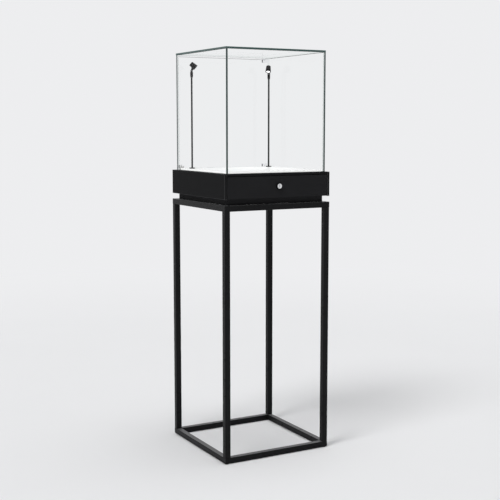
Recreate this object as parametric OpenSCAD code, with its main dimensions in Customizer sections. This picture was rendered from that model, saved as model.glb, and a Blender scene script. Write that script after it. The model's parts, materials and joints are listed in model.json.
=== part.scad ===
// Pedestal display case: a glass case with a lit white deck over a lockable
// drawer, on an open frame of square steel tube.
// Millimetres, +Z up. The origin is on the floor at the middle of the frame.
// The drawer and its lock face -Y, the glass door faces +Y.

/* [Overall] */
// Width and depth of the frame and of the drawer case
case_w = 410; // [380:5:460]
// Height of the steel frame, glides included
frame_h = 880; // [600:10:1000]
// Height of the recessed plinth between frame and drawer case
plinth_h = 20; // [14:1:40]
// Height of the drawer case
box_h = 84; // [80:1:120]
// Height of the glass above the drawer case
glass_h = 414; // [340:1:560]

/* [Frame] */
// Outer width of the square tube
tube_w = 20; // [16:1:25]
// Wall of the square tube
tube_wall = 1.5; // [1:0.1:2]
// Thickness of the floor glides
glide_h = 2; // [1.5:0.5:4]
// Diameter of the floor glides
glide_d = 16; // [12:1:16]
// Leg length of the triangular fixing plates in the top corners
plate_leg = 46; // [40:1:70]
// Thickness of the fixing plates
plate_t = 3; // [2:0.5:5]

/* [Plinth] */
// How far the plinth stands back from the case
plinth_inset = 18; // [12:1:22]

/* [Drawer case] */
// Thickness of the case boards
board_t = 8; // [7:0.5:10]
// Thickness of the drawer front
front_t = 12; // [10:0.5:16]
// Gap round the drawer front
front_gap = 2; // [1.5:0.5:3]
// Thickness of the white deck
deck_t = 6; // [4:0.5:8]
// Gap between deck and glass
deck_gap = 2; // [1:0.5:4]
// Room behind the deck for the heel of the door
deck_back_gap = 13; // [12:0.5:18]

/* [Glass] */
// Thickness of the glass
glass_t = 6; // [5:0.5:8]
// How far the glass stands in from the edge of the case
glass_inset = 12; // [10:1:20]
// Gap between the door and the side panes
door_gap = 1.5; // [1.5:0.1:3]

/* [Door fittings] */
// Length of a pivot clamp along the door
clamp_w = 24; // [20:1:30]
// Height of a pivot clamp
clamp_h = 12; // [11:0.5:16]
// Wall of a pivot clamp on each face of the glass
clamp_wall = 3; // [2:0.25:3.5]
// Web of a pivot clamp over the edge of the glass
clamp_web = 1.5; // [1:0.25:3]
// Distance from the edge of the door to its pivot
pivot_in = 14; // [12:0.5:14]
// Diameter of the pivot pins
pivot_d = 4; // [3:0.5:5]
// Thickness of the pivot plates
pivot_plate_t = 3; // [2.5:0.25:4]
// Thickness of the pivot washer
washer_t = 0.5; // [0.4:0.1:1]
// Width of the strike on the door
strike_w = 12; // [10:1:16]
// Height of the strike on the door
strike_h = 13; // [11:1:18]
// Sheet thickness of the strike
strike_t = 1; // [0.8:0.1:1.5]
// Length of the finger lip on the strike
lip_len = 7; // [5:0.5:8]
// Height of the magnetic catch
catch_h = 13; // [11:0.5:18]

/* [Lamps] */
// Distance from the side glass to a lamp stem
lamp_side = 29; // [29:1:60]
// Distance from the glass door to a lamp stem
lamp_back = 50; // [44:1:60]
// Distance from the underside of the glass roof to the tilt pin
lamp_drop = 56; // [48:1:120]
// Diameter of the stem
stem_d = 6; // [5:0.5:7]
// Bore of the stem
stem_bore = 4; // [3:0.5:4]
// Length of threaded stem below the case top
stem_tail = 16; // [14:1:20]
// Diameter of the foot disc
foot_d = 21; // [16:0.5:26]
// Thickness of the foot disc
foot_t = 3; // [2:0.5:4]
// Diameter of the swivel sleeve
sleeve_d = 10; // [9:0.5:11]
// Length of the swivel sleeve below the tilt pin
sleeve_len = 24; // [22:1:34]
// Diameter of the tilt pin
tilt_pin_d = 2.6; // [2:0.2:3]
// Radius of the fork ears round the tilt pin
ear_r = 3.8; // [3.2:0.1:4.2]
// Width of the slot in the fork
fork_slot = 5; // [4:0.2:5]
// Diameter of the lamp head at the front
head_d = 20; // [18:0.5:20.5]
// Diameter of the lamp head at the back
head_back_d = 16; // [14:0.5:17]
// Length of the lamp head
head_len = 23; // [20:0.5:24]
// How far the middle of the head lies behind the tilt pin
head_shift = 6.5; // [6:0.5:8]
// Tilt of the left lamp below level
tilt_left = 40; // [30:1:70]
// Tilt of the right lamp below level
tilt_right = 66; // [30:1:75]
// Turn of the left lamp from the middle of the deck towards the back
swing_left = 14; // [0:1:30]
// Turn of the right lamp from the middle of the deck towards the front
swing_right = 11; // [0:1:30]
// Diameter of the lens
lens_d = 15; // [12:0.5:16]

/* [Drawer] */
// Depth of the service room behind the drawer
service_d = 85; // [76:1:110]
// Height of the drawer sides with the bottom
drawer_h = 50; // [46:1:52]
// Thickness of the drawer sides and back
drawer_side_t = 10; // [8:0.5:12]
// Thickness of the drawer bottom
drawer_floor_t = 4; // [3:0.5:6]
// Clearance under the drawer
drawer_lift = 4; // [3:0.5:6]
// Height of the telescopic runners
runner_h = 36; // [30:1:38]
// Space that a runner takes between drawer and case
runner_space = 12.5; // [11:0.25:14]
// Sheet thickness of the runners
runner_t = 1.2; // [1:0.1:1.5]

/* [Lock] */
// Distance from the underside of the case top to the lock's axis
lock_drop = 36; // [34:0.5:38]
// Diameter of the lock head
lock_d = 19; // [18:0.5:22]
// How far the lock head stands out
lock_proud = 8; // [5:0.5:9]
// Diameter of the lock barrel
barrel_d = 16; // [15:0.5:17]
// Diameter of the turning plug
plug_d = 12; // [10:0.5:13]
// Length of the barrel from the face of the drawer
barrel_len = 20; // [20:0.5:22]
// Reach of the cam from the lock's axis
cam_reach = 32; // [30:0.5:33]
// Thickness of the cam
cam_t = 2; // [1.5:0.25:2.5]

/* [Power] */
// Length of the lamp driver
driver_l = 120; // [90:5:160]
// Width of the lamp driver
driver_w = 45; // [30:1:50]
// Height of the lamp driver
driver_h = 25; // [20:1:32]
// Height of the leads over the floor of the case
lead_h = 14; // [10:0.5:16]
// Diameter of the power inlet
inlet_d = 12; // [10:0.5:14]
// How far the power inlet stands out at the back
inlet_proud = 8; // [5:0.5:9]

/* [Fits] */
// Radial clearance of a turning fit
turn_clear = 0.05; // [0.03:0.01:0.1]
// Radial clearance of a screw or a nut
screw_clear = 0.1; // [0.05:0.05:0.2]
// Clearance between sliding pieces
slide_clear = 0.5; // [0.4:0.05:0.6]
// Side clearance of a lamp head in its fork
side_clear = 0.3; // [0.3:0.05:0.5]

/* [Hidden] */
$fn = 48;

black = [0.09, 0.09, 0.10];
dark = [0.16, 0.16, 0.17];
steel = [0.72, 0.73, 0.75];
chrome = [0.85, 0.86, 0.88];
white = [0.96, 0.96, 0.95];
clear = [0.75, 0.88, 0.85, 0.35];
lit = [1.0, 0.98, 0.92];

cut = 1;             // how far a cutting solid runs past the face it cuts
half = case_w / 2;

// Heights
z_frame = frame_h;
z_case = z_frame + plinth_h;
z_floor = z_case + board_t;      // inside floor of the drawer case
z_top = z_case + box_h;
z_under = z_top - board_t;       // underside of the case top
z_deck = z_top + deck_t;
z_roof = z_top + glass_h;
z_ceiling = z_roof - glass_t;    // underside of the glass roof

// Screws
screw_d = 4;
screw_head_d = 7.5;
screw_head_t = 2.4;
screw_len = 14;
floor_screw_len = 17;
screw_end = 0.5;     // depth of a hole beyond the end of its screw
board_bite = 5;      // depth of a short screw in a board

// Glass and door
glass_out = half - glass_inset;
glass_in = glass_out - glass_t;
door_half = glass_in - door_gap;
door_lift = washer_t + turn_clear;
door_end_gap = pivot_plate_t + door_lift + clamp_web;
door_z0 = z_top + door_end_gap;
door_z1 = z_ceiling - door_end_gap;
pivot_x = door_half - pivot_in;
pivot_y = glass_out - glass_t / 2;
clamp_end = 1;                   // from the edge of the door to the clamp
clamp_x1 = door_half - clamp_end;
clamp_y0 = glass_in - clamp_wall;
clamp_depth = glass_t + 2 * clamp_wall;
deck_back = glass_in - deck_back_gap;
pin_short = 0.5;                 // from the pin's end to the far face of its plate
pin_len = pivot_plate_t - pin_short;
plate_screw_x = clamp_x1 - 5;
plate_screw_len = pivot_plate_t + board_bite;
catch_w = strike_w + 2;
catch_d = 9;
catch_gap = 1;                   // between the catch and the side glass
magnet_d = 6;
magnet_deep = 0.8;

// Lamps
lamp_x = glass_in - lamp_side;
lamp_y = glass_in - lamp_back;
tilt_z = z_ceiling - lamp_drop;
sleeve_z0 = tilt_z - sleeve_len;
sleeve_taper = 5;
stem_drop = 14;                  // from the tilt pin to the end of the stem
stem_top = tilt_z - stem_drop;
slot_deep = ear_r + 0.8;
ear_gap = 3.3;                   // between the ears and the head
lug_r = ear_r - 0.4;
head_off = head_d / 2 + ear_r + ear_gap;
head_front = head_len / 2 - head_shift;
head_rear = -head_len / 2 - head_shift;
bezel_len = 2.5;
lug_root = 2;                    // how far the lug runs into the head
lug_back = 8;                    // from the tilt pin to the back of the lug at the head
lug_step = 1;                    // from the lug's upright front edge to the bezel
lens_t = 3;
lens_lip = 0.8;
lens_clear = 0.1;
led_gap = 4;                     // between light board and lens
led_t = 1.6;
chip_t = 1.5;
lug_t = fork_slot - 2 * side_clear;
lamp_nut_af = 10;
lamp_nut_h = 5;
lamp_washer_t = 1;
lamp_washer_d = 13;
sleeve_mouth = 1.6;              // how much wider the sleeve is than the stem where it starts
waist = 2;                       // from the ears down to the full sleeve

// Drawer
drawer_half = half - board_t - runner_space;
front_y = -half + front_t;               // back face of the drawer front
back_y = half - board_t;                 // inner face of the case back
drawer_y1 = back_y - service_d;
drawer_z0 = z_floor + drawer_lift;
drawer_z1 = drawer_z0 + drawer_h;
front_lift = 1;                          // from the underside of the case to the front
front_z0 = z_case + front_lift;
front_z1 = z_under - front_gap;
front_half = half - board_t - front_gap;
runner_z = drawer_z0 + drawer_floor_t + (drawer_h - drawer_floor_t) / 2;
runner_end = 2.5;
runner_y0 = front_y + runner_end;
runner_len = drawer_y1 - front_y - 2 * runner_end;
runner_depth = runner_space - 2 * slide_clear - 2 * runner_t;

// Lock
lock_z = z_under - lock_drop;
lock_nut_t = 4;
lock_nut_d = lock_d + 2;
lock_edge = 1;                           // chamfer of the lock head
plug_tail = 2;                           // from the end of the barrel to the cam
cam_y0 = -half + barrel_len + plug_tail;
cam_w = 12;
rivet_d = 6;
rivet_head_d = 9;
rivet_head_t = 1.2;
strike_lip = 14;
strike_sheet = 1.5;
strike_play = 2.5;                       // between the strike and the raised cam
strike_y = cam_y0 - strike_play - strike_sheet;
strike_leg = 20;
strike_half = 18;
strike_screw_x = 10;
strike_screw_y = 14;
key_w = 2;
key_h = 8;
key_deep = 7;

// Power
driver_back = 50;                        // from the case back to the driver's middle
driver_y = back_y - driver_back;
driver_ear = 10;
driver_ear_t = 3;
lead_z = z_floor + lead_h;
lead_bend = 15;
lead_in_stem = 8;
lead_d = stem_bore - 2 * side_clear;
inlet_nut_af = 17;
inlet_nut_h = 3;
inlet_tail = 14;
inlet_flange = 2.5;                      // how far the inlet's head is wider, each side
inlet_edge = 1;
socket_d = 6.4;
socket_deep = 9;
socket_pin_d = 2;

// ---------------------------------------------------------------- helpers

// A block given by its low and high corners
module block(low, high) {
    translate(low) cube(high - low);
}

// The four corners of a rectangle, one child each
module at_corners(x, y) {
    for (sx = [-1, 1], sy = [-1, 1]) translate([sx * x, sy * y, 0]) children();
}

// A left and a right copy, the right one mirrored
module both_sides() {
    children();
    mirror([1, 0, 0]) children();
}

// A regular hexagon of width af across its flats
module hex(af, h) {
    cylinder(h = h, d = af / cos(30), $fn = 6);
}

// A ring from z = 0 up
module ring(d_out, d_in, h) {
    difference() {
        cylinder(h = h, d = d_out);
        translate([0, 0, -cut]) cylinder(h = h + 2 * cut, d = d_in);
    }
}

// A flat-headed screw that points down, its head's top at z = 0
module sunk_screw(len) {
    translate([0, 0, -screw_head_t]) cylinder(h = screw_head_t, d1 = screw_d, d2 = screw_head_d);
    translate([0, 0, -len]) cylinder(h = len - screw_head_t / 2, d = screw_d);
}

// The hole for a flat-headed screw: the head seats, the shank has clearance
module sunk_hole(len) {
    c = 2 * screw_clear;
    translate([0, 0, -screw_head_t]) cylinder(h = screw_head_t, d1 = screw_d, d2 = screw_head_d);
    translate([0, 0, -len - screw_end]) cylinder(h = len, d = screw_d + c);
}

// ---------------------------------------------------------------- frame

module frame_leg(sx, sy) {
    z0 = glide_h + tube_w;
    h = z_frame - tube_w - z0;
    color(black)
    translate([sx * (half - tube_w / 2), sy * (half - tube_w / 2), z0])
    difference() {
        translate([-tube_w / 2, -tube_w / 2, 0]) cube([tube_w, tube_w, h]);
        translate([-tube_w / 2 + tube_wall, -tube_w / 2 + tube_wall, -cut])
            cube([tube_w - 2 * tube_wall, tube_w - 2 * tube_wall, h + 2 * cut]);
    }
}
module leg_front_left() frame_leg(-1, -1);
module leg_front_right() frame_leg(1, -1);
module leg_back_left() frame_leg(-1, 1);
module leg_back_right() frame_leg(1, 1);

// One ring of four tubes with mitred corners
module mitred_ring(z0) {
    in = half - tube_w;
    color(black)
    translate([0, 0, z0])
    for (a = [0:90:270]) rotate(a) difference() {
        linear_extrude(tube_w)
            polygon([[-half, -half], [half, -half], [in, -in], [-in, -in]]);
        translate([-half - cut, -half + tube_wall, tube_wall])
            cube([case_w + 2 * cut, tube_w - 2 * tube_wall, tube_w - 2 * tube_wall]);
    }
}
module bottom_rails() mitred_ring(glide_h);
module top_rails() mitred_ring(z_frame - tube_w);

module floor_glides() {
    p = half - tube_w / 2;
    color(dark) at_corners(p, p) cylinder(h = glide_h, d = glide_d);
}

plate_screw_in = 15;      // from the inner corner of the frame to the screw
module corner_plates() {
    in = half - tube_w;
    color(black)
    for (sx = [-1, 1], sy = [-1, 1]) scale([sx, sy, 1])
    translate([in, in, z_frame - plate_t]) difference() {
        linear_extrude(plate_t) polygon([[0, 0], [-plate_leg, 0], [0, -plate_leg]]);
        translate([-plate_screw_in, -plate_screw_in, -cut])
            cylinder(h = plate_t + 2 * cut, d = screw_d + 2 * screw_clear);
    }
}

module plate_screw_places() {
    p = half - tube_w - plate_screw_in;
    at_corners(p, p) children();
}

floor_screw_in = 62;      // from the edge of the case to the screws in its floor
module floor_screw_places() {
    p = half - floor_screw_in;
    at_corners(p, p) children();
}

module plinth() {
    p = half - plinth_inset;
    c = screw_d + 2 * screw_clear;
    color(black) difference() {
        block([-p, -p, z_frame], [p, p, z_case]);
        plate_screw_places() translate([0, 0, z_frame - cut])
            cylinder(h = screw_len - plate_t + screw_end + cut, d = c);
        floor_screw_places() translate([0, 0, z_floor]) sunk_hole(floor_screw_len);
    }
}

// ---------------------------------------------------------------- drawer case

module case_floor() {
    x = half - board_t;
    color(black) difference() {
        block([-x, front_y + slide_clear, z_case], [x, half, z_floor]);
        floor_screw_places() translate([0, 0, z_floor]) sunk_hole(floor_screw_len);
        driver_screw_places() translate([0, 0, z_floor - board_bite - screw_end])
            cylinder(h = board_bite + screw_end + cut, d = screw_d + 2 * screw_clear);
    }
}

// The right side; the left one mirrors it
module case_side() {
    color(black) difference() {
        block([half - board_t, -half, z_case], [half, half, z_top]);
        outer_screw_places() rotate([0, -90, 0]) runner_screw_hole();
    }
}
module case_side_right() case_side();
module case_side_left() mirror([1, 0, 0]) case_side();

module case_back() {
    x = half - board_t;
    color(black) difference() {
        block([-x, back_y, z_floor], [x, half, z_under]);
        translate([0, half + cut, lead_z]) rotate([90, 0, 0])
            cylinder(h = board_t + 2 * cut, d = inlet_d + 2 * screw_clear);
    }
}

module case_top() {
    x = half - board_t;
    c = 2 * screw_clear;
    deep = board_bite + screw_end + cut;
    color(black) difference() {
        block([-x, -half, z_under], [x, half, z_top]);
        lamp_places() translate([0, 0, z_under - cut])
            cylinder(h = board_t + 2 * cut, d = stem_d + c);
        plate_fix_place() translate([0, 0, z_top + cut - deep])
            cylinder(h = deep, d = screw_d + c);
        strike_screw_places() translate([0, 0, z_under - cut])
            cylinder(h = deep, d = screw_d + c);
    }
}

module deck() {
    x = glass_in - deck_gap;
    color(white) difference() {
        block([-x, -x, z_top], [x, deck_back, z_deck]);
        lamp_places() translate([0, 0, z_top - cut])
            cylinder(h = deck_t + 2 * cut, d = stem_d + 2 * screw_clear);
    }
}

// ---------------------------------------------------------------- glass

// The front pane stands between the side panes
module glass_front() {
    color(clear)
    block([-glass_in, -glass_out, z_top], [glass_in, -glass_in, z_ceiling]);
}
module glass_side() {
    color(clear)
    block([glass_in, -glass_out, z_top], [glass_out, glass_out, z_ceiling]);
}
module glass_right() glass_side();
module glass_left() mirror([1, 0, 0]) glass_side();
module glass_roof() {
    color(clear)
    block([-glass_out, -glass_out, z_ceiling], [glass_out, glass_out, z_roof]);
}
module glass_door() {
    color(clear)
    block([-door_half, glass_in, door_z0], [door_half, glass_out, door_z1]);
}

// A pivot clamp for the top edge of the door, its pin up, with z = 0 at that edge
module pivot_clamp() {
    color(chrome) {
        difference() {
            block([clamp_x1 - clamp_w, clamp_y0, clamp_web - clamp_h],
                  [clamp_x1, clamp_y0 + clamp_depth, clamp_web]);
            block([clamp_x1 - clamp_w - cut, glass_in, -clamp_h],
                  [clamp_x1 + cut, glass_out, 0]);
        }
        translate([pivot_x, pivot_y, clamp_web]) cylinder(h = door_lift + pin_len, d = pivot_d);
    }
}
module pivot_clamp_upper() translate([0, 0, door_z1]) pivot_clamp();
module pivot_clamp_lower() translate([0, 0, door_z0]) mirror([0, 0, 1]) pivot_clamp();

// The screw of the lower pivot plate
module plate_fix_place() {
    translate([plate_screw_x, pivot_y, 0]) children();
}

// Two plates with a bore: one bonded under the roof, one screwed to the case
module pivot_plate_blank() {
    difference() {
        block([clamp_x1 - clamp_w, clamp_y0, 0],
              [clamp_x1, clamp_y0 + clamp_depth, pivot_plate_t]);
        translate([pivot_x, pivot_y, -cut])
            cylinder(h = pivot_plate_t + 2 * cut, d = pivot_d + 2 * turn_clear);
    }
}
module pivot_plates() {
    color(chrome) {
        difference() {
            translate([0, 0, z_top]) pivot_plate_blank();
            plate_fix_place() translate([0, 0, z_top + pivot_plate_t]) sunk_hole(plate_screw_len);
        }
        translate([0, 0, z_ceiling - pivot_plate_t]) pivot_plate_blank();
    }
}

// The washer that carries the door
module pivot_washer() {
    color(white) translate([pivot_x, pivot_y, z_top + pivot_plate_t])
        ring(pivot_d + 5, pivot_d + 2 * turn_clear, washer_t);
}

// Steel clip on the lower free corner of the door, with a finger lip outside
module door_strike() {
    x0 = -door_half;
    x1 = x0 + strike_w;
    y0 = glass_in - strike_t;
    y1 = glass_out + strike_t;
    z0 = door_z0 - strike_t;
    z1 = z0 + strike_h;
    color(chrome) {
        difference() {
            block([x0, y0, z0], [x1, y1, z1]);
            block([x0 - cut, glass_in, door_z0], [x1 + cut, glass_out, z1 + cut]);
        }
        block([x0, y1, z1 - strike_t], [x1, y1 + lip_len, z1]);
    }
}

// Magnetic catch on the case, behind the deck
module door_catch() {
    x0 = catch_gap - glass_in;
    y1 = glass_in - strike_t - slide_clear;
    color(white) difference() {
        block([x0, y1 - catch_d, z_top], [x0 + catch_w, y1, z_top + catch_h]);
        translate([x0 + catch_w / 2, y1 + cut, z_top + catch_h - magnet_d / 2 - 1.5])
            rotate([90, 0, 0]) cylinder(h = cut + magnet_deep, d = magnet_d);
    }
}

// ---------------------------------------------------------------- lamps

module lamp_places() {
    for (s = [-1, 1]) translate([s * lamp_x, lamp_y, 0]) children();
}

// The angle about +Z at which a lamp points, near the middle of the deck
function lamp_aim(s) = atan2(-lamp_y, -s * lamp_x) + (s < 0 ? swing_left : swing_right);
function lamp_tilt(s) = s < 0 ? tilt_left : tilt_right;

// The place of one lamp, local +X the way it points
module lamp_frame(s) {
    translate([s * lamp_x, lamp_y, 0]) rotate(lamp_aim(s)) children();
}

// The place of one lamp head: the tilt pin at the origin, the lamp's axis
// parallel to local +X and head_off above it
module head_frame(s) {
    lamp_frame(s) translate([0, 0, tilt_z]) rotate([0, lamp_tilt(s), 0]) children();
}

module lamp_feet() {
    color(black) lamp_places() translate([0, 0, z_deck])
        ring(foot_d, stem_d, foot_t);
}

module lamp_stem(s) {
    z0 = z_under - stem_tail;
    color(black) lamp_frame(s) translate([0, 0, z0])
        ring(stem_d, stem_bore, stem_top - z0);
}
module lamp_stem_left() lamp_stem(-1);
module lamp_stem_right() lamp_stem(1);

// Nuts of the two lamps and of the power inlet, with the lamps' washers
module locknuts() {
    c = 2 * screw_clear;
    z_nut = z_under - lamp_washer_t - lamp_nut_h;
    color(steel) {
        lamp_places() {
            translate([0, 0, z_under - lamp_washer_t])
                ring(lamp_washer_d, stem_d + c, lamp_washer_t);
            translate([0, 0, z_nut]) difference() {
                hex(lamp_nut_af, lamp_nut_h);
                translate([0, 0, -cut]) cylinder(h = lamp_nut_h + 2 * cut, d = stem_d);
            }
        }
        translate([0, back_y, lead_z]) rotate([90, 0, 0]) difference() {
            hex(inlet_nut_af, inlet_nut_h);
            translate([0, 0, -cut]) cylinder(h = inlet_nut_h + 2 * cut, d = inlet_d + c);
        }
    }
}

// Leads from the lamps and from the inlet to the driver
module lamp_leads() {
    up = z_under - stem_tail + lead_in_stem - lead_z - lead_bend;
    across = lamp_x - lead_bend - driver_l / 2;
    color(dark) {
        for (s = [-1, 1]) translate([s * lamp_x, lamp_y, lead_z]) scale([s, 1, 1]) {
            translate([0, 0, lead_bend]) cylinder(h = up, d = lead_d);
            translate([-lead_bend, 0, lead_bend]) rotate([90, 0, 0])
                rotate_extrude(angle = -90) translate([lead_bend, 0]) circle(d = lead_d);
            translate([-lead_bend - across, 0, 0]) rotate([0, 90, 0])
                cylinder(h = across, d = lead_d);
        }
        translate([0, driver_y + driver_w / 2, lead_z]) rotate([-90, 0, 0])
            cylinder(h = half - inlet_tail - driver_y - driver_w / 2, d = lead_d);
    }
}

// The sleeve that swivels on the stem, with a fork for the head
module lamp_sleeve(s) {
    color(black) lamp_frame(s) difference() {
        intersection() {
            union() {
                translate([0, 0, sleeve_z0])
                    cylinder(h = sleeve_taper, d1 = stem_d + sleeve_mouth, d2 = sleeve_d);
                translate([0, 0, sleeve_z0 + sleeve_taper])
                    cylinder(h = sleeve_len - sleeve_taper + ear_r, d = sleeve_d);
            }
            union() {
                block([-sleeve_d, -sleeve_d, sleeve_z0], [sleeve_d, sleeve_d, tilt_z - ear_r - waist]);
                block([-ear_r, -sleeve_d, tilt_z - ear_r - waist - cut], [ear_r, sleeve_d, tilt_z]);
                translate([0, sleeve_d, tilt_z]) rotate([90, 0, 0])
                    cylinder(h = 2 * sleeve_d, r = ear_r);
            }
        }
        translate([0, 0, sleeve_z0 - cut])
            cylinder(h = stem_top - sleeve_z0 + cut + turn_clear, d = stem_d + 2 * turn_clear);
        block([-sleeve_d, -fork_slot / 2, tilt_z - slot_deep],
              [sleeve_d, fork_slot / 2, tilt_z + sleeve_d]);
        translate([0, sleeve_d, tilt_z]) rotate([90, 0, 0])
            cylinder(h = 2 * sleeve_d, d = tilt_pin_d);
    }
}
module lamp_sleeve_left() lamp_sleeve(-1);
module lamp_sleeve_right() lamp_sleeve(1);

pin_inset = 0.7;          // from the side of the sleeve to the end of the pin
module lamp_pin(s) {
    l = sleeve_d - 2 * pin_inset;
    color(steel) lamp_frame(s) translate([0, l / 2, tilt_z]) rotate([90, 0, 0])
        cylinder(h = l, d = tilt_pin_d);
}
module lamp_pin_left() lamp_pin(-1);
module lamp_pin_right() lamp_pin(1);

// A solid of revolution on the lamp's axis, its profile's height along local +X
module on_lamp_axis(x) {
    translate([x, 0, head_off]) rotate([0, 90, 0]) children();
}

lens_x = head_front - lens_lip - lens_t;      // back face of the lens
led_x = lens_x - led_gap - led_t;             // back face of the light board
lug_front = min(lug_r, head_front - bezel_len);
lug_top = head_off - head_d / 2 + lug_root;

module lamp_head(s) {
    body_len = head_len - bezel_len;
    color(black) head_frame(s) difference() {
        union() {
            on_lamp_axis(head_rear) cylinder(h = body_len, d1 = head_back_d, d2 = head_d);
            // lug from the underside of the head to the tilt pin
            translate([0, lug_t / 2, 0]) rotate([90, 0, 0]) {
                cylinder(h = lug_t, r = lug_r);
                linear_extrude(lug_t) polygon([
                    [-lug_r, 0], [lug_r, 0], [lug_front, lug_top - lug_root - lug_step],
                    [lug_front, lug_top], [-lug_back, lug_top]
                ]);
            }
        }
        on_lamp_axis(led_x) cylinder(h = head_len, d = lens_d + 2 * lens_clear);
        translate([0, lug_t, 0]) rotate([90, 0, 0])
            cylinder(h = 2 * lug_t, d = tilt_pin_d + 2 * turn_clear);
    }
}
module lamp_head_left() lamp_head(-1);
module lamp_head_right() lamp_head(1);

// The ring that holds the lens
module lamp_bezel(s) {
    color(dark) head_frame(s) on_lamp_axis(head_front - bezel_len) difference() {
        cylinder(h = bezel_len, d = head_d);
        translate([0, 0, -cut])
            cylinder(h = bezel_len - lens_lip + cut, d = lens_d + 2 * lens_clear);
        cylinder(h = bezel_len + cut, d = lens_d - 2 * lens_lip);
    }
}
module lamp_bezel_left() lamp_bezel(-1);
module lamp_bezel_right() lamp_bezel(1);

module lamp_lens(s) {
    color(lit) head_frame(s) on_lamp_axis(lens_x) cylinder(h = lens_t, d = lens_d);
}
module lamp_lens_left() lamp_lens(-1);
module lamp_lens_right() lamp_lens(1);

// The light board with its chip, seated at the back of the head's bore
module lamp_led(s) {
    color(lit) head_frame(s) on_lamp_axis(led_x) {
        cylinder(h = led_t, d = lens_d);
        cylinder(h = led_t + chip_t, d = lens_d / 2);
    }
}
module lamp_led_left() lamp_led(-1);
module lamp_led_right() lamp_led(1);

// ---------------------------------------------------------------- drawer

module drawer_front() {
    color(black) difference() {
        block([-front_half, -half, front_z0], [front_half, front_y, front_z1]);
        translate([0, front_y + cut, lock_z]) rotate([90, 0, 0])
            cylinder(h = front_t + 2 * cut, d = barrel_d + 2 * screw_clear);
    }
}

module drawer_side() {
    color(dark) difference() {
        block([drawer_half - drawer_side_t, front_y, drawer_z0 + drawer_floor_t],
              [drawer_half, drawer_y1, drawer_z1]);
        inner_screw_places() rotate([0, 90, 0]) runner_screw_hole();
    }
}
module drawer_side_right() drawer_side();
module drawer_side_left() mirror([1, 0, 0]) drawer_side();

module drawer_back() {
    x = drawer_half - drawer_side_t;
    color(dark)
    block([-x, drawer_y1 - drawer_side_t, drawer_z0 + drawer_floor_t], [x, drawer_y1, drawer_z1]);
}

module drawer_floor() {
    color(dark)
    block([-drawer_half, front_y, drawer_z0],
          [drawer_half, drawer_y1, drawer_z0 + drawer_floor_t]);
}

// A channel along Y: web on the low-x side, flanges towards +x
module channel(h, depth) {
    translate([0, runner_y0 + runner_len, 0]) rotate([90, 0, 0]) linear_extrude(runner_len)
        polygon([
            [0, -h / 2], [depth, -h / 2], [depth, runner_t - h / 2], [runner_t, runner_t - h / 2],
            [runner_t, h / 2 - runner_t], [depth, h / 2 - runner_t], [depth, h / 2], [0, h / 2]
        ]);
}

// Places of the runner screws along Y
runner_screw_end = 40;
runner_screws_y = [runner_y0 + runner_screw_end, runner_y0 + runner_len - runner_screw_end];
runner_head_d = 7;
runner_screw_d = 3.5;

// Screws through the outer member into the right side of the case, along +X
module outer_screw_places() {
    for (y = runner_screws_y) translate([half - board_t, y, runner_z]) children();
}
// Screws through the inner member into the right side of the drawer, along -X
module inner_screw_places() {
    for (y = runner_screws_y) translate([drawer_half, y, runner_z]) children();
}

// A flush screw that points down, its head inside a runner's web, z = 0 at the board
module runner_screw() {
    cylinder(h = runner_t, d1 = runner_screw_d, d2 = runner_head_d);
    translate([0, 0, -board_bite]) cylinder(h = board_bite + runner_t / 2, d = runner_screw_d);
}
module runner_screw_hole() {
    deep = board_bite + screw_end;
    cylinder(h = runner_t, d1 = runner_screw_d, d2 = runner_head_d);
    translate([0, 0, -deep]) cylinder(h = deep, d = runner_screw_d + 2 * screw_clear);
}

module runner_outer() {
    color(steel) both_sides() difference() {
        translate([half - board_t, 0, runner_z]) mirror([1, 0, 0])
            channel(runner_h, runner_depth - runner_t);
        outer_screw_places() rotate([0, -90, 0]) runner_screw_hole();
    }
}

module runner_middle() {
    h = runner_h - 2 * runner_t - 2 * slide_clear;
    x = half - board_t - runner_t - slide_clear;
    color(steel) both_sides() translate([x, 0, runner_z]) mirror([1, 0, 0])
        channel(h, runner_depth - runner_t);
}

module runner_inner() {
    h = runner_h - 4 * runner_t - 4 * slide_clear;
    color(steel) both_sides() difference() {
        translate([drawer_half, 0, runner_z])
            channel(h, runner_space - 2 * runner_t - 2 * slide_clear);
        inner_screw_places() rotate([0, 90, 0]) runner_screw_hole();
    }
}

module drawer_screws() {
    color(steel) both_sides()
        inner_screw_places() rotate([0, 90, 0]) runner_screw();
}

// ---------------------------------------------------------------- lock

// A round solid on the lock's axis, from the face of the drawer inwards
module on_lock_axis(y) {
    translate([0, y, lock_z]) rotate([-90, 0, 0]) children();
}

module lock_body() {
    color(chrome) difference() {
        union() {
            on_lock_axis(-half - lock_proud)
                cylinder(h = lock_edge, d1 = lock_d - 2 * lock_edge, d2 = lock_d);
            on_lock_axis(-half - lock_proud + lock_edge)
                cylinder(h = lock_proud - lock_edge, d = lock_d);
            on_lock_axis(-half) cylinder(h = barrel_len, d = barrel_d);
        }
        on_lock_axis(-half - lock_proud - cut)
            cylinder(h = barrel_len + lock_proud + 2 * cut, d = plug_d + 2 * turn_clear);
    }
}

module lock_nut() {
    color(steel) on_lock_axis(front_y) ring(lock_nut_d, barrel_d + 2 * screw_clear, lock_nut_t);
}

// The turning plug with its keyway, a tail for the cam and the riveted end
module lock_plug() {
    y0 = -half - lock_proud;
    color(chrome) difference() {
        union() {
            on_lock_axis(y0) cylinder(h = cam_y0 - y0, d = plug_d);
            on_lock_axis(cam_y0) cylinder(h = cam_t, d = rivet_d);
            on_lock_axis(cam_y0 + cam_t) cylinder(h = rivet_head_t, d = rivet_head_d);
        }
        block([-key_w / 2, y0 - cut, lock_z - key_h / 2],
              [key_w / 2, y0 + key_deep, lock_z + key_h / 2]);
    }
}

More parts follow.
